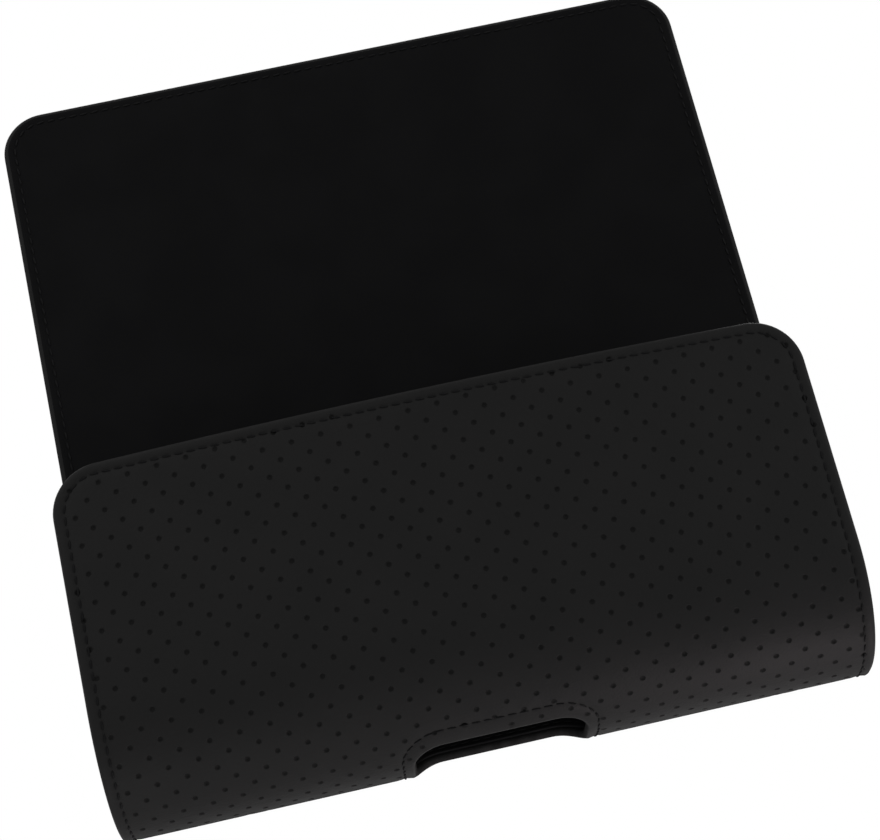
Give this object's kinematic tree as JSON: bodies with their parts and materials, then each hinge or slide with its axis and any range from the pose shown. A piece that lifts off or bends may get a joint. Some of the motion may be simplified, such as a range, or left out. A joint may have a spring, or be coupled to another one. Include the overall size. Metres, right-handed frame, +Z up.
{
  "type": "phone belt holster",
  "caption": "Sideways belt pouch for a phone: swelled front, hinged flap with hidden magnets, side elastics, finger cut-out, spring belt clip and belt loops.",
  "frame": {"origin": "middle of the belt channel, on the outer face of the pouch's back", "axes": "+Z up, along the open flap; +Y out of the back, towards the wearer; +X along the case's width and the belt"},
  "size_m": [0.17, 0.0466, 0.1828],
  "materials": {
    "leather": "soft sheen, embossed with fine dimples",
    "lining": "smooth matte",
    "board": "plain fibre board",
    "elastic": "ribbed woven elastic",
    "steel": "plain spring steel",
    "rivet": "nickel plated",
    "magnet": "nickel plated disc"
  },
  "bodies": {
    "pouch": {"body_leather": "leather", "front_stiffener": "board", "back_stiffener": "board", "body_lining": "lining", "elastic_left": "elastic", "elastic_right": "elastic", "keeper_left": "steel", "keeper_right": "steel", "belt_clip": "steel", "clip_cover_outer": "leather", "clip_cover_inner": "leather", "clip_plate": "steel", "clip_rivets": "rivet", "belt_loop_left": "leather", "belt_loop_right": "leather"},
    "strip": {"strip_leather": "leather", "strip_stiffener": "board", "strip_lining": "lining"},
    "flap": {"flap_leather": "leather", "flap_stiffener": "board", "flap_lining": "lining", "magnet_left": "magnet", "magnet_right": "magnet"}
  },
  "joints": [
    {"name": "strip_fold", "type": "hinge", "parent": "pouch", "child": "strip", "pos_m": [0, -0.0028, 0.0342], "axis": [1, 0, 0], "range_deg": [-30, 90]},
    {"name": "flap_fold", "type": "hinge", "parent": "strip", "child": "flap", "pos_m": [0, -0.0028, 0.0684], "axis": [1, 0, 0], "range_deg": [-20, 90]}
  ]
}
